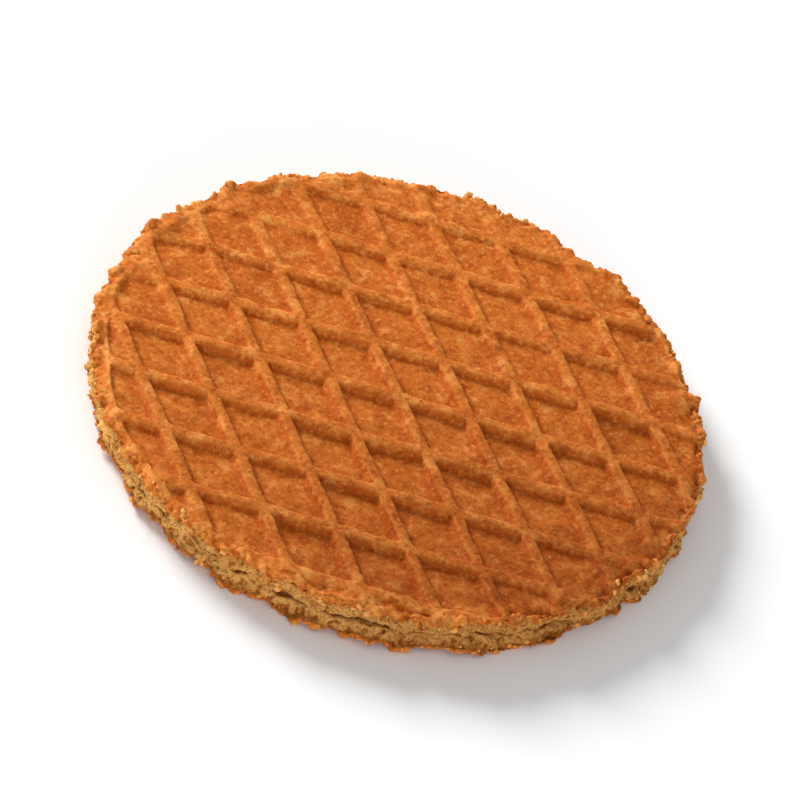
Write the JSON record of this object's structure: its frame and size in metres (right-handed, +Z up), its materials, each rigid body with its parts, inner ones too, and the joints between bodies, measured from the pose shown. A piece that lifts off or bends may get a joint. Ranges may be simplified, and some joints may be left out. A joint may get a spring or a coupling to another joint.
{
  "type": "stroopwafel",
  "caption": "Round caramel waffle biscuit: a pair of thin baked wafers with a raised diamond grid on their outer faces and a layer of caramel syrup between them.",
  "frame": {"origin": "under the middle of the biscuit, on the plane where the ridges of the lower wafer stand", "axes": "+Z up through the thickness; +X along the long diagonals of the diamond cells, which is also the way the upper wafer rises"},
  "size_m": [0.1, 0.1, 0.0077],
  "materials": {
    "baked_wafer": "matte",
    "caramel_syrup": "gloss"
  },
  "bodies": {
    "root": {"wafer_lower": "baked_wafer", "caramel_filling": "caramel_syrup", "wafer_upper": "baked_wafer"}
  },
  "joints": []
}
